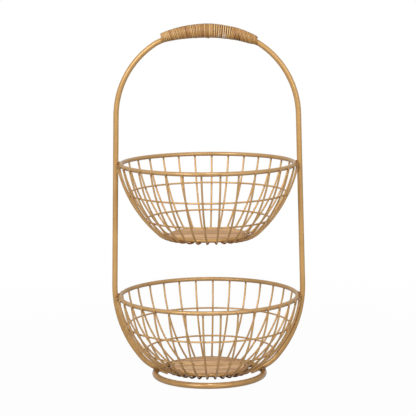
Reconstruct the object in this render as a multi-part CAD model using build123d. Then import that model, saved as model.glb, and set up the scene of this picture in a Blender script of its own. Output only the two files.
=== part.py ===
from build123d import *
import os
from math import asin, atan2, cos, degrees, radians, sin, sqrt

# Tiered wire basket: one bent rod makes both uprights and the carrying arch, two
# ribbed wire bowls sit between the uprights, and a wooden disc lies in each bowl.
# Millimetres, +Z up, origin on the floor at the centre of the base ring.
# Azimuths are degrees from the front (-Y) towards the right (+X).

# Stock
frame_rod = 8.5
ring_rod = 9.6
rim_wire = 6.7
base_hoop_wire = 5.6
hoop_wire = 2.8
rib_wire = 3.0
weld_gap = 0.05

# Hoop at the foot of each bowl, which the disc lies in
base_hoop_radius = 59.5

# Base ring and bent frame, followed from a tail tip up over the arch
base_ring_overhang = 26.7
base_ring_radius = base_hoop_radius + base_ring_overhang
tail_slope = 22.5
tail_length = 18.6
tail_bend_radius = 63.4
tail_bend_end = 50.1
lower_bend_radius = 176.4
upright_lean = 1.32
upright_length = 267.8
haunch_radius = 45.0
haunch_slope = 33.5
crown_radius = 172.6

# Grip wound over the crown of the arch, a little off its middle
grip_length = 150.0
grip_middle_diameter = 22.4
grip_end_diameter = 15.0
grip_flatness_share = 1.8
grip_offset = 3.5
crown_overrun = 1.0
core_setback = 10.0
reed_diameter = 3.0
reed_turns = 24
reed_clearance = 0.15
rod_clearance = 0.1
core_section_shares = (-1, -0.75, -0.5, -0.25, 0, 0.25, 0.5, 0.75, 1)

# Bowls
upper_rim_height = 339.2
lower_rim_height = 129.7
upper_bowl_depth = 112.6
lower_bowl_depth = 115.2
upper_side_slope = 11.0
lower_side_slope = 7.0
upper_toe_bend = 30.0
lower_toe_bend = 22.0
upper_first_drop = 46.0
upper_second_drop = 87.8
lower_first_drop = 47.4
lower_second_drop = 89.0
toe_reach = 5.0
rib_end_height = 1.2

# Ribs, in degrees: the front half of each bowl holds more than the back half,
# and the front ones stand a little closer together towards the uprights
front_ribs = 18
back_ribs = 16
front_rib_step = 9.95
back_rib_step = 10.9
upper_front_phase = 1.9
lower_front_phase = 1.7
back_rib_phase = 2.9
upper_rib_spread = 4.7
lower_rib_spread = 2.0
back_rib_spread = 1.0
upper_rib_twist = 1.5
upper_twist_swing = 3.3
lower_rib_twist = 0.0
lower_twist_swing = 1.2
twist_waves = 3
twist_peak = 12.0

# Wooden discs
disc_thickness = 5.0
disc_side_gap = 0.7
disc_seat_gap = 0.3
disc_edge_round = 0.6

# Steps along the winding that its measures take
heading_turn_share = 1 / 720
gap_points_per_turn = 24

# Weld beads
rim_bead_radius = 4.6
tail_bead_radius = 5.2


def bent_path(start, heading, segments):
    """A flat path of (length, None) runs and (radius, angle) left-hand bends."""
    edges = []
    point = Vector(*start)
    for size, turn in segments:
        direction = Vector(cos(radians(heading)), sin(radians(heading)))
        if turn is None:
            edge = Line(point, point + direction * size)
        else:
            edge = JernArc(point, direction, size, turn)
            heading += turn
        edges.append(edge)
        point = edge @ 1
    return Wire([edge.edge() for edge in edges])


def round_bar(path, diameter):
    """A round wire along a path, cut square at both ends."""
    section = Plane(origin=path @ 0, z_dir=path % 0) * Circle(diameter / 2)
    return sweep(section, path=path)


# Frame geometry in the XZ plane, right side
tail_contact = (ring_rod + frame_rod) / 2 + weld_gap
contact_x = base_ring_radius - tail_contact * sin(radians(tail_slope))
contact_z = ring_rod / 2 + tail_contact * cos(radians(tail_slope))


def bend_step(x, z, radius, heading, new_heading):
    """End point of a left-hand bend between two headings."""
    new_x = x + radius * (sin(radians(new_heading)) - sin(radians(heading)))
    new_z = z - radius * (cos(radians(new_heading)) - cos(radians(heading)))
    return new_x, new_z


upright_heading = 90 + upright_lean
bend_x, bend_z = bend_step(contact_x, contact_z, tail_bend_radius, tail_slope, tail_bend_end)
foot_x, foot_z = bend_step(bend_x, bend_z, lower_bend_radius, tail_bend_end, upright_heading)
lower_centre_x = foot_x - lower_bend_radius * cos(radians(upright_lean))
lower_centre_z = foot_z - lower_bend_radius * sin(radians(upright_lean))
head_x = foot_x - upright_length * sin(radians(upright_lean))
head_z = foot_z + upright_length * cos(radians(upright_lean))
crown_half_angle = degrees((grip_length / 2 + grip_offset + crown_overrun) / crown_radius)
crown_end_x = crown_radius * sin(radians(crown_half_angle))
haunch_run = haunch_radius * (sin(radians(haunch_slope)) - sin(radians(crown_half_angle)))
shoulder_share = cos(radians(upright_lean)) - sin(radians(haunch_slope))
shoulder_radius = (head_x - haunch_run - crown_end_x) / shoulder_share
shoulder = bend_step(head_x, head_z, shoulder_radius, upright_heading, 180 - haunch_slope)
haunch = bend_step(*shoulder, haunch_radius, 180 - haunch_slope, 180 - crown_half_angle)
crown_centre_z = haunch[1] - crown_radius * cos(radians(crown_half_angle))


def inside_frame(height, clearance):
    """Half width that stays a clearance inside the frame's centreline at a height."""
    lean = radians(upright_lean)
    if height < foot_z:
        reach = lower_bend_radius - clearance
        return lower_centre_x + sqrt(reach**2 - (lower_centre_z - height) ** 2)
    return foot_x - (height - foot_z) * sin(lean) / cos(lean) - clearance / cos(lean)


def make_frame():
    """One rod: tail, lower bend, upright, arch, and the same down the other side."""
    half = [
        (tail_length, None),
        (tail_bend_radius, tail_bend_end - tail_slope),
        (lower_bend_radius, upright_heading - tail_bend_end),
        (upright_length, None),
        (shoulder_radius, 90 - haunch_slope - upright_lean),
        (haunch_radius, haunch_slope - crown_half_angle),
    ]
    crown = [(crown_radius, 2 * crown_half_angle)]
    tip = (
        contact_x - tail_length * cos(radians(tail_slope)),
        contact_z - tail_length * sin(radians(tail_slope)),
    )
    path = Plane.XZ * bent_path(tip, tail_slope, half + crown + half[::-1])
    return round_bar(path, frame_rod)


def make_ring(radius, height, diameter):
    """A closed round-wire ring lying level."""
    return Pos(0, 0, height) * Torus(radius, diameter / 2)


# Grip
def grip_radius(along):
    """Outer radius of the wound grip at a distance from its middle."""
    share = abs(2 * along / grip_length) ** grip_flatness_share
    return (grip_middle_diameter - (grip_middle_diameter - grip_end_diameter) * share) / 2


def crown_frame(along):
    """Point on the crown's centreline, counted from the grip's middle, and its outward and forward directions."""
    angle = (along + grip_offset) / crown_radius
    outward = Vector(sin(angle), 0, cos(angle))
    point = Vector(0, 0, crown_centre_z) + outward * crown_radius
    return point, outward, Vector(cos(angle), 0, -sin(angle))


def make_grip_core():
    """Barrel-shaped padding round the rod, under the winding."""
    half_core = grip_length / 2 - core_setback
    sections = []
    for share in core_section_shares:
        along = half_core * share
        point, outward, forward = crown_frame(along)
        radius = grip_radius(along) - reed_diameter - reed_clearance
        sections.append(Plane(origin=point, x_dir=outward, z_dir=forward) * Circle(radius))
    barrel = loft(Sketch() + sections)
    bore_radius = frame_rod / 2 + rod_clearance
    bore = Pos(0, 0, crown_centre_z) * Rot(90, 0, 0) * Torus(crown_radius, bore_radius)
    return barrel - bore


def reed_point(turn):
    """Centre of the reed after a number of turns, from the left end."""
    half_wind = grip_length / 2 - reed_diameter
    along = half_wind * (2 * turn / reed_turns - 1)
    point, outward, _ = crown_frame(along)
    radius = grip_radius(along) - reed_diameter / 2
    angle = radians(360 * turn - 90)
    return point + outward * radius * sin(angle) + Vector(0, 1, 0) * radius * cos(angle)


def reed_heading(turn):
    """Unit direction of the reed at a number of turns."""
    ahead, behind = reed_point(turn + heading_turn_share), reed_point(turn - heading_turn_share)
    return (ahead - behind).normalized()


def biarc(start, start_heading, end, end_heading):
    """Two arcs that join two points and keep both headings."""
    chord = end - start
    headings = start_heading + end_heading
    bend = 2 * (1 - start_heading.dot(end_heading))
    run = chord.dot(headings)
    reach = (sqrt(run**2 + bend * chord.dot(chord)) - run) / bend
    middle = (start + end + (start_heading - end_heading) * reach) * 0.5
    first = Edge.make_tangent_arc(start, start_heading, middle)
    second = Edge.make_tangent_arc(middle, first % 1, end)
    return [first, second]


def make_grip_winding():
    """One unbroken reed wound round the padding, with a short straight run at each end."""
    turns = [step / 2 for step in range(2 * reed_turns + 1)]
    edges = []
    for turn, next_turn in zip(turns, turns[1:]):
        ends = reed_point(turn), reed_heading(turn), reed_point(next_turn), reed_heading(next_turn)
        edges += biarc(*ends)
    first, last = edges[0], edges[-1]
    lead_in = Edge.make_line(first @ 0 - (first % 0) * reed_diameter, first @ 0)
    lead_out = Edge.make_line(last @ 1, last @ 1 + (last % 1) * reed_diameter)
    return round_bar(Wire([lead_in] + edges + [lead_out]), reed_diameter)


def reed_gap():
    """Least gap of the winding to itself, measured on points."""
    per_turn = gap_points_per_turn
    points = [reed_point(step / per_turn) for step in range(reed_turns * per_turn + 1)]
    least = grip_length
    for index, point in enumerate(points):
        for other in points[index + per_turn // 2 : index + 2 * per_turn]:
            least = min(least, (other - point).length)
    return least - reed_diameter


class Bowl:
    """Sizes and profile of one ribbed bowl, worked out from its rim height."""

    def __init__(self, rim_height, depth, side_slope, toe_bend, hoop_drops, twist, front_spacing):
        rim_clearance = (frame_rod + rim_wire) / 2 + weld_gap
        rib_contact = (rim_wire + rib_wire) / 2 + weld_gap
        toe_contact = (base_hoop_wire + rib_wire) / 2 + weld_gap
        self.rim_height = rim_height
        self.rim_radius = inside_frame(rim_height, rim_clearance)
        self.slope = radians(side_slope)
        self.toe_bend = toe_bend
        self.hoop_drops = hoop_drops
        self.twist, self.twist_swing = twist
        self.front_phase, self.front_spread = front_spacing
        self.base_height = rim_height - depth
        self.seat_radius = self.rim_radius + rib_contact * cos(self.slope)
        self.seat_height = rim_height - rib_contact * sin(self.slope)
        self.toe_height = self.base_height - toe_contact
        self.toe_end = base_hoop_radius - base_hoop_wire / 2 - toe_reach

    def profile(self, seat, toe):
        """Side bend radius and the angle where the toe bend takes over."""
        drop = self.seat_height - self.toe_height
        run = seat - toe
        rest = drop - self.toe_bend
        top = rest**2 + run**2 - self.toe_bend**2
        below = run * cos(self.slope) - rest * sin(self.slope) - self.toe_bend
        side_bend = top / (2 * below)
        sine = rest + side_bend * sin(self.slope)
        cosine = side_bend * cos(self.slope) - run
        return side_bend, atan2(sine, cosine)

    def hoop(self, drop):
        """Radius and height of a hoop that lies inside the ribs, a drop below the rim."""
        side_bend, _ = self.profile(self.seat_radius, base_hoop_radius)
        angle = asin(sin(self.slope) + drop / side_bend)
        radius = self.seat_radius - side_bend * (cos(self.slope) - cos(angle))
        offset = (rib_wire + hoop_wire) / 2 + weld_gap
        return radius - offset * cos(angle), self.seat_height - drop + offset * sin(angle)

    def rib(self, azimuth):
        """One bent rib: its end beside the rim, its toe under the base hoop."""
        wave = cos(radians(twist_waves * (azimuth - twist_peak)))
        twist = radians(self.twist + self.twist_swing * wave)
        across = self.toe_end * sin(twist)
        inward = self.seat_radius - self.toe_end * cos(twist)
        swing = atan2(across, inward)
        offset = self.seat_radius * sin(swing)
        seat = self.seat_radius * cos(swing)
        toe = sqrt(base_hoop_radius**2 - offset**2)
        toe_end = sqrt(self.toe_end**2 - offset**2)
        side_bend, takeover = self.profile(seat, toe)
        segments = [
            (toe - toe_end, None),
            (self.toe_bend, 90 - degrees(takeover)),
            (side_bend, degrees(takeover - self.slope)),
            (rib_end_height, None),
        ]
        path = bent_path((toe_end, self.toe_height), 0, segments)
        turned = radians(azimuth) - swing
        outward = Vector(sin(turned), -cos(turned), 0)
        sideways = Vector(cos(turned), sin(turned), 0)
        plane = Plane(origin=sideways * offset, x_dir=outward, z_dir=-sideways)
        return round_bar(plane * path, rib_wire)

    def disc(self):
        """Wooden disc lying on the toes of the ribs, inside the base hoop."""
        radius = base_hoop_radius - base_hoop_wire / 2 - disc_side_gap
        seat = self.toe_height + rib_wire / 2 + disc_seat_gap
        plate = Cylinder(radius, disc_thickness, align=(Align.CENTER, Align.CENTER, Align.MIN))
        return Pos(0, 0, seat) * fillet(plate.edges(), disc_edge_round)


def rib_azimuths(count, step, phase, spread):
    """Azimuths stepped about a middle direction, spread apart there and drawn in at the ends."""
    steps = [step * (index - (count - 1) / 2) for index in range(count)]
    return [phase + away + spread * sin(radians(2 * away)) for away in steps]


def make_bowl(name, bowl):
    """The rim, hoops, ribs and disc of one bowl, as named solids."""
    first_hoop, second_hoop = [bowl.hoop(drop) for drop in bowl.hoop_drops]
    pieces = {
        f"{name}_rim": make_ring(bowl.rim_radius, bowl.rim_height, rim_wire),
        f"{name}_first_hoop": make_ring(*first_hoop, hoop_wire),
        f"{name}_second_hoop": make_ring(*second_hoop, hoop_wire),
        f"{name}_base_hoop": make_ring(base_hoop_radius, bowl.base_height, base_hoop_wire),
        f"{name}_disc": bowl.disc(),
    }
    halves = {
        "front": rib_azimuths(front_ribs, front_rib_step, bowl.front_phase, bowl.front_spread),
        "back": rib_azimuths(back_ribs, back_rib_step, 180 + back_rib_phase, back_rib_spread),
    }
    for side, azimuths in halves.items():
        for index in range(0, len(azimuths), 2):
            pair = [bowl.rib(azimuth) for azimuth in azimuths[index : index + 2]]
            pieces[f"{name}_{side}_ribs_{index // 2 + 1}"] = Compound(pair)
    return pieces


def make_welds(frame, rings):
    """A bead in the crevice wherever the frame meets a rim or the base ring."""
    beads = []
    for ring, radius, x, z in rings:
        for side in (-1, 1):
            blob = Pos(side * x, 0, z) * Sphere(radius)
            bead = blob - frame - ring
            beads += bead.solids()
    return Compound(beads)


upper_bowl = Bowl(
    upper_rim_height,
    upper_bowl_depth,
    upper_side_slope,
    upper_toe_bend,
    hoop_drops=(upper_first_drop, upper_second_drop),
    twist=(upper_rib_twist, upper_twist_swing),
    front_spacing=(upper_front_phase, upper_rib_spread),
)
lower_bowl = Bowl(
    lower_rim_height,
    lower_bowl_depth,
    lower_side_slope,
    lower_toe_bend,
    hoop_drops=(lower_first_drop, lower_second_drop),
    twist=(lower_rib_twist, lower_twist_swing),
    front_spacing=(lower_front_phase, lower_rib_spread),
)

parts = {
    "frame_rod": make_frame(),
    "base_ring": make_ring(base_ring_radius, ring_rod / 2, ring_rod),
    "grip_core": make_grip_core(),
    "grip_winding": make_grip_winding(),
}
parts.update(make_bowl("upper", upper_bowl))
parts.update(make_bowl("lower", lower_bowl))

tail_bead_x = base_ring_radius - ring_rod / 2 * sin(radians(tail_slope))
tail_bead_z = ring_rod / 2 + ring_rod / 2 * cos(radians(tail_slope))
parts["frame_welds"] = make_welds(
    parts["frame_rod"],
    [
        (parts["upper_rim"], rim_bead_radius, upper_bowl.rim_radius + rim_wire / 2, upper_rim_height),
        (parts["lower_rim"], rim_bead_radius, lower_bowl.rim_radius + rim_wire / 2, lower_rim_height),
        (parts["base_ring"], tail_bead_radius, tail_bead_x, tail_bead_z),
    ],
)

print(f"reed least gap to itself {reed_gap():.2f} mm over {reed_turns} turns")
print(f"arch top {crown_centre_z + crown_radius + grip_middle_diameter / 2:.1f} mm")
print(f"rim radii {upper_bowl.rim_radius:.1f} {lower_bowl.rim_radius:.1f} mm")

os.makedirs("parts", exist_ok=True)
for node, shape in parts.items():
    export_step(shape, f"parts/{node}.step")
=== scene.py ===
"""Looks of the tiered wire basket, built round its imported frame."""
import random
from math import atan2, copysign, cos, exp, floor, pi, radians, sin, tau

import bmesh
import bpy
from mathutils import Matrix, Vector


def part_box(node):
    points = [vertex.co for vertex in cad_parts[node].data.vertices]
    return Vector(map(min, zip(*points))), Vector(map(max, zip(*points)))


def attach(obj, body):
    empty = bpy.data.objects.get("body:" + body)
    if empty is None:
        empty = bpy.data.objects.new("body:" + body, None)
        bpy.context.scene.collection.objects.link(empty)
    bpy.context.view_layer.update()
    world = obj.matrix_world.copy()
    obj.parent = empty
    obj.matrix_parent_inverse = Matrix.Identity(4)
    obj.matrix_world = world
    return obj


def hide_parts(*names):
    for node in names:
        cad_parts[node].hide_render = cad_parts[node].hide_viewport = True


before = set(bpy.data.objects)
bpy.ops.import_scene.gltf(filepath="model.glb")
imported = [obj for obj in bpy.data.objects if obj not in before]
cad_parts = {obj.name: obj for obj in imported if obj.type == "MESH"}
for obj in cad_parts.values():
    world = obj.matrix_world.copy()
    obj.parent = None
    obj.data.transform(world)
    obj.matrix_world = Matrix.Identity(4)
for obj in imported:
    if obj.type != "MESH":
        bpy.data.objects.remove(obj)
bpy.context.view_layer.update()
bowls = ("upper", "lower")
mm = 0.001


class Value:
    """A number socket: Python's operators on it add Math nodes."""

    def __init__(self, paint, socket):
        self.paint = paint
        self.socket = socket

    def maths(self, operation, *others):
        settings = {"operation": operation}
        return self.paint.node("ShaderNodeMath", settings, dict(enumerate((self, *others))))

    def __add__(self, other):
        return self.maths("ADD", other)

    __radd__ = __add__

    def __mul__(self, other):
        return self.maths("MULTIPLY", other)

    __rmul__ = __mul__

    def __sub__(self, other):
        return self.maths("SUBTRACT", other)

    def __rsub__(self, other):
        return self * -1 + other

    def __abs__(self):
        return self.maths("ABSOLUTE")

    def part(self, name):
        """Another output of the node that this socket belongs to."""
        return Value(self.paint, self.socket.node.outputs[name])

    def rise(self, low, high):
        """Goes smoothly from 0 at low to 1 at high."""
        settings = {"interpolation_type": "SMOOTHSTEP"}
        return self.paint.node("ShaderNodeMapRange", settings, {0: self, 1: low, 2: high})

    def band(self, middle, half, soft):
        """Is 1 within half of the middle and falls to 0 over a soft edge."""
        return 1 - abs(self - middle).rise(half, half + soft)


class Paint:
    """A material whose nodes are written as expressions."""

    def __init__(self, name):
        self.material = bpy.data.materials.new(name)
        self.material.use_nodes = True
        self.tree = self.material.node_tree
        self.tree.nodes.clear()

    def node(self, kind, settings=None, inputs=None, output=0):
        """Adds a node, its settings first and then its inputs, and gives one of its outputs."""
        node = self.tree.nodes.new(kind)
        for name, value in (settings or {}).items():
            if name == "stops":
                stops = node.color_ramp.elements
                while len(stops) < len(value):
                    stops.new(1)
                for stop, (position, colour) in zip(stops, value):
                    stop.position = position
                    stop.color = (*colour, 1)
            else:
                setattr(node, name, value)
        for name, value in (inputs or {}).items():
            if isinstance(value, Value):
                self.tree.links.new(value.socket, node.inputs[name])
            elif isinstance(value, tuple) and node.inputs[name].type == "RGBA":
                node.inputs[name].default_value = (*value, 1)
            else:
                node.inputs[name].default_value = value
        return None if output is None else Value(self, node.outputs[output])

    def place(self):
        return self.node("ShaderNodeTexCoord", output="Object")

    def split(self, vector):
        """The X, Y and Z of a vector as three numbers."""
        first = self.node("ShaderNodeSeparateXYZ", inputs={0: vector})
        return first, first.part("Y"), first.part("Z")

    def join(self, x, y, z):
        return self.node("ShaderNodeCombineXYZ", inputs={0: x, 1: y, 2: z})

    def stretch(self, vector, scale, turn=(0, 0, 0)):
        inputs = {"Vector": vector, "Rotation": turn, "Scale": scale}
        return self.node("ShaderNodeMapping", inputs=inputs)

    def noise(self, vector, scale, detail=3.0, roughness=0.5):
        inputs = {"Vector": vector, "Scale": scale, "Detail": detail, "Roughness": roughness}
        return self.node("ShaderNodeTexNoise", inputs=inputs)

    def attribute(self, name):
        return self.node("ShaderNodeAttribute", {"attribute_name": name}, output="Fac")

    def ramp(self, value, *stops):
        return self.node("ShaderNodeValToRGB", {"stops": stops}, {0: value})

    def mix(self, share, first, second):
        """Goes from the first colour to the second as the share rises."""
        inputs = {0: share, 6: first, 7: second}
        return self.node("ShaderNodeMix", {"data_type": "RGBA"}, inputs, output=2)

    def bump(self, height, distance, strength):
        inputs = {"Height": height, "Distance": distance, "Strength": strength}
        return self.node("ShaderNodeBump", inputs=inputs)

    def shell(self, **inputs):
        """Ends the material in a Principled shader, inputs named with underscores."""
        named = {name.replace("_", " "): value for name, value in inputs.items()}
        return self.end(self.node("ShaderNodeBsdfPrincipled", inputs=named))

    def end(self, shader):
        """Links a shader to the output and gives the material."""
        self.node("ShaderNodeOutputMaterial", inputs={"Surface": shader}, output=None)
        return self.material


# Finishes: colours of painted shade by the welds, under the rims, at the bowls' feet and rib toes,
# between rattan turns and along the grip's top, with how far it reaches; then a pale rattan fibre
# and a wood knot
weld_shade_brown, weld_shade_share = (0.12, 0.045, 0.013), 0.65
tail_weld_shade, rim_weld_shade = 8.0 * mm, 3.5 * mm
rim_shade_brown, rim_shade_share = (0.13, 0.048, 0.014), 0.5
rim_shade_half, rim_shade_fade = 1.2 * mm, 2.6 * mm
foot_shade_brown, foot_half, foot_fade = (0.20, 0.082, 0.02), 5 * mm, 24 * mm
toe_half, toe_fade, toe_share = 2.0 * mm, 3.0 * mm, 0.95
toe_weld_half, toe_weld_share = 4.0 * mm, 0.9
turn_gap_shade, darkening_brown = (0.15, 0.062, 0.018), (0.20, 0.085, 0.03)
loose_fibre = (0.80, 0.64, 0.50)
knot_centre = (-31 * mm, 12 * mm)


def near_weld(paint, place):
    """Is 1 beside the frame's six welds, where painted shade goes, and falls to 0 a few millimetres
    off them.
    """
    x, y, z = paint.split(place)
    share = 0.0
    for centre in weld_centres:
        reach = tail_weld_shade if centre == tail_weld else rim_weld_shade
        offset = paint.join(abs(x) - centre.x, y - centre.y, z - centre.z)
        distance = paint.node("ShaderNodeVectorMath", {"operation": "LENGTH"}, {0: offset}, "Value")
        share = distance.band(0.0, reach / 2, reach) + share
    return share


def gold_paint(name, light, deep, coat, toes=(), weld_shaded=False):
    """Sprayed gold paint: fine grain and faint clouds, with painted shade by the welds, under the
    rims, towards the bowls' feet and where ribs end.
    """
    paint = Paint(name)
    place = paint.place()
    clouds = paint.noise(place, 45.0, 4.0)
    grain = paint.noise(place, 900.0, 2.0)
    colour = paint.ramp(clouds * 0.7 + grain * 0.3, (0.36, deep), (0.64, light))
    roughness, metallic = 0.3 + grain * 0.12, 0.28
    if weld_shaded:
        # Painted shade darkens the paint beside the frame's welds
        colour = paint.mix(near_weld(paint, place) * weld_shade_share, colour, weld_shade_brown)
    if toes:
        height = paint.split(place)[2]
        # Painted shade on the wires just under each rim's lower edge, where the ribs meet the rim
        for rim_edge in rim_edges:
            rim_shade = height.band(rim_edge, rim_shade_half, rim_shade_fade)
            colour = paint.mix(rim_shade * rim_shade_share, colour, rim_shade_brown)
    for level, toe_shade_colour, foot_shade_share in toes:
        # Painted shade darkens the ribs towards the bowl's foot, where they face downward
        foot_shade = height.band(level, foot_half, foot_fade)
        colour = paint.mix(foot_shade * foot_shade_share, colour, foot_shade_brown)
        # Painted shade at the rib toes, under the base hoop
        share = height.band(level, toe_half, toe_fade)
        colour = paint.mix(share * toe_share, colour, toe_shade_colour)
        roughness = roughness + share * 0.5
        metallic, coat = metallic * (1 - share), (1 - share) * coat
    normal = paint.bump(grain, 0.08 * mm, 0.35)
    return paint.shell(
        Base_Color=colour, Metallic=metallic, Roughness=roughness, Normal=normal,
        Specular_IOR_Level=0.0, Coat_Weight=coat, Coat_Roughness=0.14,
    )


def weld_paint(name, dark, light, painted_glint, toes=()):
    """Paint over weld metal: browner and pitted, with painted glints as bright specks where it is
    smooth.
    """
    paint = Paint(name)
    place = paint.place()
    pits = paint.noise(place, 900.0, 3.0)
    colour = paint.ramp(pits, (0.38, dark), (0.56, light), (0.72, painted_glint))
    roughness = 0.42 + pits * 0.1
    for level, toe_shade_colour, _ in toes:
        # Painted shade at the rib toes, as on the gold paint
        share = paint.split(place)[2].band(level, toe_weld_half, toe_fade)
        colour = paint.mix(share * toe_weld_share, colour, toe_shade_colour)
        roughness = roughness + share * 0.4
    normal = paint.bump(pits, 0.25 * mm, 0.6)
    return paint.shell(
        Base_Color=colour, Metallic=0.1, Roughness=roughness, Normal=normal, Specular_IOR_Level=0.1
    )


def disc_wood(name, turn, shift, dark, middle, light):
    """Planed softwood: long fine grain, growth lines, a few darker streaks and one soft knot."""
    paint = Paint(name)
    place = paint.stretch(paint.place(), (1.0, 1.0, 1.0), (0.0, 0.0, radians(turn)))
    x, y, z = paint.split(place)
    wander = paint.noise(paint.join(x * 9.0, y * 30.0, shift), 1.0, 2.0)
    across = y + wander * 6.0 * mm
    fibres = paint.noise(paint.join(x * 22.0, across * 800.0, z * 300.0), 1.0, 5.0, 0.6)
    lines = paint.noise(paint.join(x * 4.0 + shift, across * 150.0, z * 40.0), 1.0, 2.0)
    patches = paint.noise(paint.join(x * 20.0, y * 26.0, shift), 1.0, 3.0)
    grain = fibres * 0.45 + lines * 0.35 + patches * 0.2
    colour = paint.ramp(grain, (0.42, dark), (0.5, middle), (0.58, light))
    streak = lines.band(0.4, 0.02, 0.03)
    colour = paint.mix(streak * 0.7, colour, dark)
    beside, above = x - knot_centre[0], y - knot_centre[1]
    knot = (beside.maths("POWER", 2.0) * 0.4 + above.maths("POWER", 2.0)).maths("SQRT")
    colour = paint.mix(knot.band(0.0, 1.0 * mm, 4.0 * mm) * 0.55, colour, dark)
    normal = paint.bump(fibres, 0.15 * mm, 0.5)
    return paint.shell(Base_Color=colour, Roughness=0.5 + fibres * 0.15, Normal=normal)


def rattan_peel(name, dark, middle, light):
    """Glossy outer skin of rattan, with fibres along the strand and tints from strand to strand."""
    paint = Paint(name)
    along = paint.attribute("strand_along")
    across = paint.attribute("strand_across")
    tint = paint.attribute("strand_tint")
    pale = paint.attribute("strand_pale")
    darkening = paint.attribute("strand_worn")
    fibres = paint.noise(paint.join(along * 70.0, across * 4.0, tint * 9.0), 1.0, 4.0, 0.6)
    stains = paint.noise(paint.place(), 110.0, 3.0)
    shade = fibres * 0.25 + stains * 0.4 + tint * 0.35
    colour = paint.ramp(shade, (0.28, dark), (0.48, middle), (0.7, light))
    # Painted shade along one side of each strand draws dark lines between turns
    edge = across.rise(0.1, 0.8)
    colour = paint.mix(edge * 0.75, colour, turn_gap_shade)
    # Painted shade along the grip's top edge, and a light browning of its upper front
    colour = paint.mix(darkening, colour, darkening_brown)
    threads = paint.noise(paint.join(along * 15.0, across * 2.5, tint * 9.0), 1.0, 2.0)
    colour = paint.mix(pale * (0.3 + threads.rise(0.35, 0.6) * 0.6), colour, loose_fibre)
    normal = paint.bump(fibres, 0.1 * mm, 0.6)
    return paint.shell(Base_Color=colour, Roughness=0.36 + fibres * 0.2, Normal=normal)


def rattan_padding():
    """The padding under the winding, seen only as dark lines between turns; its near-black brown is
    painted shade in those gaps.
    """
    paint = Paint("rattan_padding")
    fibres = paint.noise(paint.stretch(paint.place(), (60.0, 700.0, 700.0)), 1.0, 3.0)
    colour = paint.ramp(fibres, (0.3, (0.06, 0.022, 0.008)), (0.7, (0.17, 0.075, 0.028)))
    return paint.shell(Base_Color=colour, Roughness=0.8)


def island_centres(node):
    """Middles of the separate solids of a CAD node."""
    bm = bmesh.new()
    bm.from_mesh(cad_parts[node].data)
    bmesh.ops.remove_doubles(bm, verts=bm.verts[:], dist=0.001 * mm)
    left = set(bm.verts)
    middles = []
    while left:
        island, edge_of_island = set(), [left.pop()]
        while edge_of_island:
            vert = edge_of_island.pop()
            island.add(vert)
            for near in (edge.other_vert(vert) for edge in vert.link_edges):
                if near in left:
                    left.remove(near)
                    edge_of_island.append(near)
        low = Vector([min(vert.co[axis] for vert in island) for axis in range(3)])
        high = Vector([max(vert.co[axis] for vert in island) for axis in range(3)])
        middles.append((low + high) / 2)
    bm.free()
    return middles


# Welds on the +X side from the lowest up; those on the -X side mirror them
weld_centres = [centre for centre in island_centres("frame_welds") if centre.x > 0]
weld_centres.sort(key=lambda centre: centre.z)
tail_weld = weld_centres[0]
rim_edges = [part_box(f"{bowl}_rim")[0].z for bowl in bowls]
# For each bowl: the painted shade colour of its rib toes, and how strongly painted shade darkens
# its feet
toe_shade_tones = {"upper": ((0.44, 0.205, 0.068), 0.05), "lower": ((0.16, 0.058, 0.012), 0.4)}
toe_height = 0.8 * mm
toes = [(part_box(f"{bowl}_front_ribs_1")[0].z + toe_height, *toe_shade_tones[bowl]) for bowl in bowls]
# All five are one gold paint: the ring and rim copies are darker as painted shade, the hoop and
# wire copies lighter as painted light
bar_gold = gold_paint(
    "bar_gold", light=(0.57, 0.333, 0.122), deep=(0.49, 0.279, 0.097), coat=0.45, weld_shaded=True
)
ring_gold = gold_paint(
    "ring_gold", light=(0.48, 0.274, 0.10), deep=(0.40, 0.222, 0.078), coat=0.5, weld_shaded=True
)
rim_gold = gold_paint(
    "rim_gold", light=(0.53, 0.322, 0.138), deep=(0.45, 0.268, 0.11), coat=0.35, weld_shaded=True
)
hoop_gold = gold_paint(
    "hoop_gold", light=(0.62, 0.36, 0.13), deep=(0.50, 0.28, 0.092), coat=0.45, toes=toes
)
wire_gold = gold_paint(
    "wire_gold", light=(0.64, 0.392, 0.165), deep=(0.52, 0.308, 0.124), coat=0.35, toes=toes
)
# The nuggets' dark brown is partly pooled paint and partly painted shade in the crossings
nugget_gold = weld_paint(
    "nugget_gold", dark=(0.15, 0.06, 0.018), light=(0.32, 0.155, 0.05),
    painted_glint=(0.5, 0.28, 0.105), toes=toes,
)
# The frame's weld beads are near black as painted shade in the joints, with painted glints
bead_gold = weld_paint(
    "bead_gold", dark=(0.06, 0.024, 0.008), light=(0.26, 0.13, 0.046), painted_glint=(0.6, 0.40, 0.21)
)
upper_wood = disc_wood(
    "upper_disc_wood", turn=2.0, shift=1.7,
    dark=(0.38, 0.175, 0.062), middle=(0.71, 0.405, 0.168), light=(0.92, 0.60, 0.305),
)
lower_wood = disc_wood(
    "lower_disc_wood", turn=-1.5, shift=6.4,
    dark=(0.35, 0.165, 0.06), middle=(0.66, 0.375, 0.162), light=(0.88, 0.58, 0.31),
)
padding = rattan_padding()

for node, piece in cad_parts.items():
    if "ribs" in node or node.endswith(("first_hoop", "second_hoop")):
        finish = wire_gold
    elif node.endswith("disc"):
        finish = upper_wood if node.startswith("upper") else lower_wood
    elif node.endswith("base_hoop"):
        finish = hoop_gold
    elif node == "frame_welds":
        finish = bead_gold
    elif node == "base_ring":
        finish = ring_gold
    elif node.endswith("rim"):
        finish = rim_gold
    elif node.startswith("grip"):
        finish = padding
    else:
        finish = bar_gold
    piece.data.materials.clear()
    piece.data.materials.append(finish)


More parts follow.
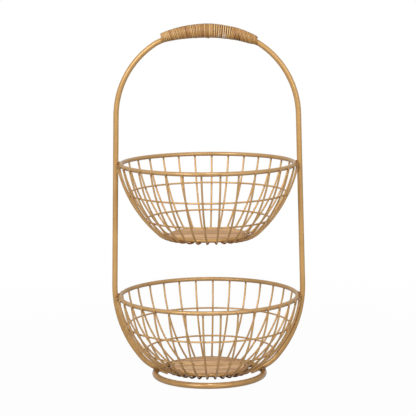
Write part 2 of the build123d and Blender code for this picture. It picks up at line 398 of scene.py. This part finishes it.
def add_piece(name, bm, finish):
    """Turns a bmesh into a named piece that rides on the basket."""
    mesh = bpy.data.meshes.new(name)
    bm.to_mesh(mesh)
    bm.free()
    mesh.materials.append(finish)
    mesh.shade_smooth()
    piece = bpy.data.objects.new(name, mesh)
    bpy.context.scene.collection.objects.link(piece)
    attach(piece, "basket")
    return piece


# Weld nuggets where ribs cross the hoops and rims; their dark brown is partly pooled paint and
# partly painted shade in the crossings
wire_spacing = 6 * mm
nugget_flatness, nugget_bar_share = 0.7, 0.15
rim_cut_drop = 1.5 * mm


def wire_centres(node, height):
    """Centres of the wires that a level plane cuts in a CAD node."""
    bm = bmesh.new()
    bm.from_mesh(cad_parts[node].data)
    everything = bm.verts[:] + bm.edges[:] + bm.faces[:]
    cut = bmesh.ops.bisect_plane(bm, geom=everything, plane_co=(0, 0, height), plane_no=(0, 0, 1))
    points = [item.co.copy() for item in cut["geom_cut"] if isinstance(item, bmesh.types.BMVert)]
    bm.free()
    groups = []
    for point in points:
        for group in groups:
            if (group[0] - point).length < wire_spacing:
                group.append(point)
                break
        else:
            groups.append([point])
    return [sum(group, Vector()) / len(group) for group in groups]


def add_nugget(bm, point, outward, size):
    """A flattened bead of weld metal, thin along the outward direction."""
    turn = outward.to_track_quat("Z", "Y").to_matrix().to_4x4()
    flattened = Matrix.Diagonal((size, size, size * nugget_flatness, 1))
    shape = Matrix.Translation(point) @ turn @ flattened
    bmesh.ops.create_icosphere(bm, subdivisions=1, radius=1.0, matrix=shape)


def make_nuggets(bowl):
    """All the weld nuggets of one bowl, as one piece."""
    dice = random.Random(bowl)
    bm = bmesh.new()
    ribs = [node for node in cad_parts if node.startswith(f"{bowl}_") and "ribs" in node]
    for ring in ("rim", "first_hoop", "second_hoop", "base_hoop"):
        low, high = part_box(f"{bowl}_{ring}")
        bar = (high.z - low.z) / 2
        radius = high.x - bar
        height = (high.z + low.z) / 2
        cut_height = height - rim_cut_drop if ring == "rim" else height
        for node in ribs:
            for centre in wire_centres(node, cut_height):
                level = Vector((centre.x, centre.y, 0)).normalized()
                ring_point = level * radius + Vector((0, 0, height))
                away = (centre - ring_point).normalized()
                if ring == "base_hoop":
                    away = Vector((0, 0, -1))
                size = bar * nugget_bar_share + dice.uniform(0.7, 1.0) * mm
                add_nugget(bm, ring_point + away * bar, away, size)
    add_piece(f"{bowl}_bowl_welds", bm, nugget_gold)


for bowl in bowls:
    make_nuggets(bowl)


# Rattan grip
crown_radius = 172.6 * mm
rod_radius = (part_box("frame_rod")[1].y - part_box("frame_rod")[0].y) / 2
crown_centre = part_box("frame_rod")[1].z - rod_radius - crown_radius
grip_half, grip_offset = 75.0 * mm, 3.5 * mm
grip_middle = 11.2 * mm
grip_end = 7.5 * mm
grip_flatness = 1.8
# The right end tapers once more, over its last stretch
taper_start, taper_end, taper_depth, taper_lift = 64 * mm, 78 * mm, 0.9 * mm, 0.6 * mm
# Where the grip starts to leave the rod's centre line on each side, and how far it comes
left_lift_start, left_lift_reach, left_lift, left_lift_power = -18 * mm, 57 * mm, 3.3 * mm, 1.3
right_lift_start, right_lift_reach, right_lift = 25 * mm, 50 * mm, 1.2 * mm


def soft_step(value, low, high):
    share = min(max((value - low) / (high - low), 0.0), 1.0)
    return share * share * (3 - 2 * share)


def grip_radius(along):
    share = min(abs(along) / grip_half, 1.0) ** grip_flatness
    taper = taper_depth * soft_step(along, taper_start, taper_end)
    return grip_middle - (grip_middle - grip_end) * share - taper


def grip_lift(along):
    """How far the wound grip sits above the rod: its ends lie flush with the rod's underside."""
    left = max(0.0, left_lift_start - along) / left_lift_reach
    right = max(0.0, along - right_lift_start) / right_lift_reach
    taper = taper_lift * soft_step(along, taper_start, taper_end)
    return left_lift * left ** left_lift_power + right_lift * right + taper


def grip_point(along, angle, radius, lift=0.0):
    """A point round the crown; angle 0 is the top, a quarter turn is the front."""
    turn = (along + grip_offset) / crown_radius
    outward = Vector((sin(turn), 0, cos(turn)))
    middle = Vector((0, 0, crown_centre)) + outward * (crown_radius + lift)
    return middle + outward * radius * cos(angle) + Vector((0, -1, 0)) * radius * sin(angle)


def facing(angle, middle):
    """How far an angle round the grip faces a middle direction, from 0 to 1."""
    return max(0.0, cos(angle - radians(middle)))


def stretch_share(along, start, end, soft):
    """Goes smoothly from 0 to 1 and back over a stretch of the grip."""
    begun = soft_step(along, start - soft, start + soft)
    return begun * (1 - soft_step(along, end - soft, end + soft))


# Sides of the grip, in degrees from its top towards the front
top_back, upper_front, front, lower_front, underside = -5.0, 45.0, 90.0, 135.0, 170.0
strand_sides, steps_per_turn = 8, 24
strand_depth, ridge_depth = 0.7 * mm, 2.2 * mm
strand_squareness = 0.55
winding_start, winding_end = -74.3 * mm, 76.4 * mm
ridge_start, ridge_end, ridge_soft = 8 * mm, 35 * mm, 2.5 * mm
flat_pitch, ridge_pitch = 2.5 * mm, 3.3 * mm
ridge_gap = 1.1 * mm
slant, end_slant, end_slant_reach = 5.5 * mm, 3.0 * mm, 16 * mm
slant_start, slant_full = 40 * mm, 50 * mm
slant_easing, easing_start, easing_end = 0.42, 56 * mm, 73 * mm
parting_turns = 1.6
strand_change = (0.7, 0.8)
knot_place, knot_height, knot_width = -1.2 * mm, 1.3 * mm, 1.8 * mm
# Where turns part: distance from the middle, half the gap, and the side it faces
partings = (
    (-53.5 * mm, 0.3 * mm, lower_front),
    (-50.5 * mm, 0.3 * mm, front),
    (-35.5 * mm, 0.5 * mm, front),
    (-26 * mm, 0.35 * mm, upper_front),
    (-21 * mm, 0.3 * mm, upper_front),
    (19.5 * mm, 0.4 * mm, lower_front),
    (28 * mm, 0.3 * mm, lower_front),
    (42 * mm, 0.45 * mm, lower_front),
    (46 * mm, 0.4 * mm, front),
)
# Loosened pale fibres: where they start and end along the grip
pale_stretches, pale_soft = ((13 * mm, 18.5 * mm), (20.5 * mm, 27 * mm)), 0.6 * mm

# Turns counted from the left end, and the distance along the grip that each count reaches
stops = [(0.0, winding_start)]
stretches = ((ridge_start, flat_pitch), (ridge_end, ridge_pitch), (winding_end, flat_pitch))
for reach, pitch in stretches:
    stops.append((stops[-1][0] + (reach - stops[-1][1]) / pitch, reach))
turns = stops[-1][0]


def read_off(value, known, wanted):
    """Follows the straight runs between stops from one of their columns to the other."""
    for first, second in zip(stops, stops[1:]):
        if value <= second[known] or second is stops[-1]:
            share = (value - first[known]) / (second[known] - first[known])
            return first[wanted] + share * (second[wanted] - first[wanted])


def winding_place(turn):
    """Distance along the grip of the strand's middle after a number of turns."""
    along = read_off(turn, 0, 1)
    angle = tau * turn
    for middle, gap, side in partings:
        away = turn - floor(read_off(middle, 1, 0)) - 0.75
        push = gap * exp(-abs(away) / parting_turns) * facing(angle, side)
        along += push if away > 0 else -push
    easing = slant_easing * soft_step(along, easing_start, easing_end)
    lean = soft_step(along, slant_start, slant_full) * (1 - easing)
    end_lean = 1 - soft_step(along, winding_start, winding_start + end_slant_reach)
    return along + (end_slant * end_lean - slant * lean) * cos(angle)


def make_winding():
    """One strand of rattan peel wound round the padding from end to end."""
    dice = random.Random(5)
    whole_turns = floor(turns) + 2
    tints = [dice.random() for _ in range(whole_turns)]
    lifts = [dice.uniform(-0.12, 0.0) * mm for _ in range(whole_turns)]
    bm = bmesh.new()
    ring = bmesh.ops.create_circle(bm, segments=strand_sides, radius=1.0)["verts"]
    angles = [atan2(vert.co.y, vert.co.x) for vert in ring]
    # The spin lays out a plain coil, whose rings are then set round the grip one by one
    bmesh.ops.spin(
        bm, geom=bm.verts[:] + bm.edges[:], cent=(0, 3, 0), axis=(1, 0, 0),
        dvec=(2.5 / steps_per_turn, 0, 0), angle=tau * turns,
        steps=floor(turns * steps_per_turn), use_merge=False,
    )
    bm.verts.ensure_lookup_table()
    names = ("strand_along", "strand_across", "strand_tint", "strand_pale", "strand_worn")
    layers = {name: bm.verts.layers.float.new(name) for name in names}
    for index, vert in enumerate(bm.verts):
        turn = (index // strand_sides) / steps_per_turn
        section = angles[index % strand_sides]
        angle = tau * turn
        along = winding_place(turn)
        whole = floor(turn)
        part = soft_step(turn - whole, *strand_change)
        tint = tints[whole] * (1 - part) + tints[whole + 1] * part
        lift = lifts[whole] * (1 - part) + lifts[whole + 1] * part
        ridged = stretch_share(along, ridge_start, ridge_end, ridge_soft)
        raised = ridged * soft_step(facing(angle, upper_front), 0.25, 0.7)
        knot = exp(-(((along - knot_place) / knot_width) ** 2)) * facing(angle, underside) ** 6
        depth = strand_depth + (ridge_depth - strand_depth) * raised
        width = flat_pitch + (ridge_pitch - flat_pitch) * ridged - ridge_gap * raised
        radius = grip_radius(along) - depth / 2 + lift * (1 - raised) + knot_height * knot
        across = cos(section)
        up = copysign(abs(sin(section)) ** strand_squareness, sin(section))
        across_place = along + across * width / 2
        vert.co = grip_point(across_place, angle, radius + up * depth / 2, grip_lift(across_place))
        pale = max(stretch_share(along, *stretch, pale_soft) for stretch in pale_stretches)
        vert[layers["strand_along"]] = turn * tau * grip_middle
        vert[layers["strand_across"]] = across
        vert[layers["strand_tint"]] = tint + 0.4 * raised
        loose = pale * soft_step(facing(angle, lower_front), 0.75, 0.97)
        vert[layers["strand_pale"]] = max(loose, 0.1 * raised)
        # Painted shade along the top edge; the upper front is browned a little
        edge = 0.45 * soft_step(facing(angle, top_back), 0.8, 0.97)
        upper_front_share = soft_step(facing(angle, upper_front), 0.1, 1.0) * (1 - raised)
        vert[layers["strand_worn"]] = edge + 0.2 * upper_front_share
    open_edges = [edge for edge in bm.edges if edge.is_boundary]
    bmesh.ops.holes_fill(bm, edges=open_edges, sides=strand_sides)
    bmesh.ops.recalc_face_normals(bm, faces=bm.faces[:])
    peel = rattan_peel(
        "rattan_peel", dark=(0.40, 0.182, 0.05), middle=(0.575, 0.306, 0.091),
        light=(0.77, 0.48, 0.19),
    )
    piece = add_piece("rattan_winding", bm, peel)
    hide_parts("grip_winding")


def make_padding():
    """The padding under the winding, a sleeve on the rod with closed ends."""
    around, rings = 32, 60
    inside_rod, end_inset = 0.2 * mm, 1.2 * mm
    first, last = winding_start + end_inset, winding_end - end_inset
    bm = bmesh.new()
    grid = bmesh.ops.create_grid(bm, x_segments=around, y_segments=rings + 2, size=0.5)["verts"]
    # The grid is rolled into a sleeve; its first and last rings close the ends inside the rod
    for vert in grid:
        ring = round((vert.co.y + 0.5) * (rings + 2)) - 1
        place = first + (last - first) * min(max(ring / rings, 0.0), 1.0)
        radius, lift = grip_radius(place) - strand_depth, grip_lift(place)
        if ring in (-1, rings + 1):
            radius, lift = rod_radius - inside_rod, 0.0
        vert.co = grip_point(place, tau * (vert.co.x + 0.5), radius, lift)
    bmesh.ops.remove_doubles(bm, verts=grid, dist=0.01 * mm)
    bmesh.ops.recalc_face_normals(bm, faces=bm.faces[:])
    piece = add_piece("grip_padding", bm, padding)
    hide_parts("grip_core")


make_winding()
make_padding()


# Floor, light and camera
def make_floor():
    """A wide pale floor that shows white, with the basket's own soft shadow on it."""
    matte_grey, half_width = (0.2, 0.2, 0.2), 60.0
    paint = Paint("floor")
    x, y, _ = paint.split(paint.place())
    distance = (x * x + y * y).maths("SQRT")
    ray = paint.node("ShaderNodeLightPath")
    seen = ray.maths("MAXIMUM", ray.part("Is Glossy Ray"))
    seen = seen.maths("MAXIMUM", ray.part("Is Transmission Ray"))
    white = paint.node("ShaderNodeEmission", inputs={"Color": (1.0, 1.0, 1.0), "Strength": 1.0})
    matte = paint.node("ShaderNodeBsdfDiffuse", inputs={"Color": matte_grey})
    share = seen * (0.98 + 0.02 * distance.rise(0.3, 1.2))
    material = paint.end(paint.node("ShaderNodeMixShader", inputs={0: share, 1: matte, 2: white}))
    bm = bmesh.new()
    bmesh.ops.create_grid(bm, x_segments=1, y_segments=1, size=half_width)
    mesh = bpy.data.meshes.new("floor")
    bm.to_mesh(mesh)
    bm.free()
    mesh.materials.append(material)
    floor_piece = bpy.data.objects.new("floor", mesh)
    bpy.context.scene.collection.objects.link(floor_piece)


def make_lamp(name, place, size, power):
    """A round soft lamp aimed at the middle of the basket."""
    aim = Vector((0, 0, 0.28))
    light = bpy.data.lights.new(name, "AREA")
    light.shape = "DISK"
    light.size = size
    light.energy = power
    lamp = bpy.data.objects.new(name, light)
    lamp.location = place
    lamp.rotation_euler = (aim - Vector(place)).to_track_quat("-Z", "Y").to_euler()
    bpy.context.scene.collection.objects.link(lamp)


def make_world(ambient):
    """White where the camera or a reflection sees it, and a softer fill everywhere else."""
    world = bpy.data.worlds.new("studio")
    bpy.context.scene.world = world
    world.use_nodes = True
    nodes, links = world.node_tree.nodes, world.node_tree.links
    nodes.clear()
    ray = nodes.new("ShaderNodeLightPath")
    seen = ray.outputs["Is Camera Ray"]
    for kind in ("Is Glossy Ray", "Is Transmission Ray"):
        either = nodes.new("ShaderNodeMath")
        either.operation = "MAXIMUM"
        links.new(seen, either.inputs[0])
        links.new(ray.outputs[kind], either.inputs[1])
        seen = either.outputs[0]
    strength = nodes.new("ShaderNodeMapRange")
    strength.inputs["To Min"].default_value = ambient
    strength.inputs["To Max"].default_value = 1.0
    links.new(seen, strength.inputs["Value"])
    background = nodes.new("ShaderNodeBackground")
    background.inputs["Color"].default_value = (1, 1, 1, 1)
    links.new(strength.outputs[0], background.inputs["Strength"])
    output = nodes.new("ShaderNodeOutputWorld")
    links.new(background.outputs[0], output.inputs["Surface"])


def make_camera():
    """The photograph's view: a long lens a little above the basket."""
    lens = bpy.data.cameras.new("camera")
    lens.sensor_width = 36.0
    lens.lens = 147.23
    lens.clip_end = 200.0
    camera = bpy.data.objects.new("camera", lens)
    tilt_down, roll = radians(8.30), radians(-0.50)
    camera.matrix_world = (
        Matrix.Translation((-0.1 * mm, -2.64005, 0.6543))
        @ Matrix.Rotation(pi / 2 - tilt_down, 4, "X")
        @ Matrix.Rotation(roll, 4, "Z")
    )
    bpy.context.scene.collection.objects.link(camera)
    bpy.context.scene.camera = camera


make_floor()
make_world(ambient=0.34)
make_lamp("key", (-2.6, -4.6, 2.45), size=2.4, power=168)
make_lamp("front", (2.6, -4.8, 1.5), size=2.8, power=82)
make_lamp("top", (0.2, -2.8, 4.3), size=0.6, power=64)
make_camera()
bpy.context.scene.view_settings.view_transform = "Standard"
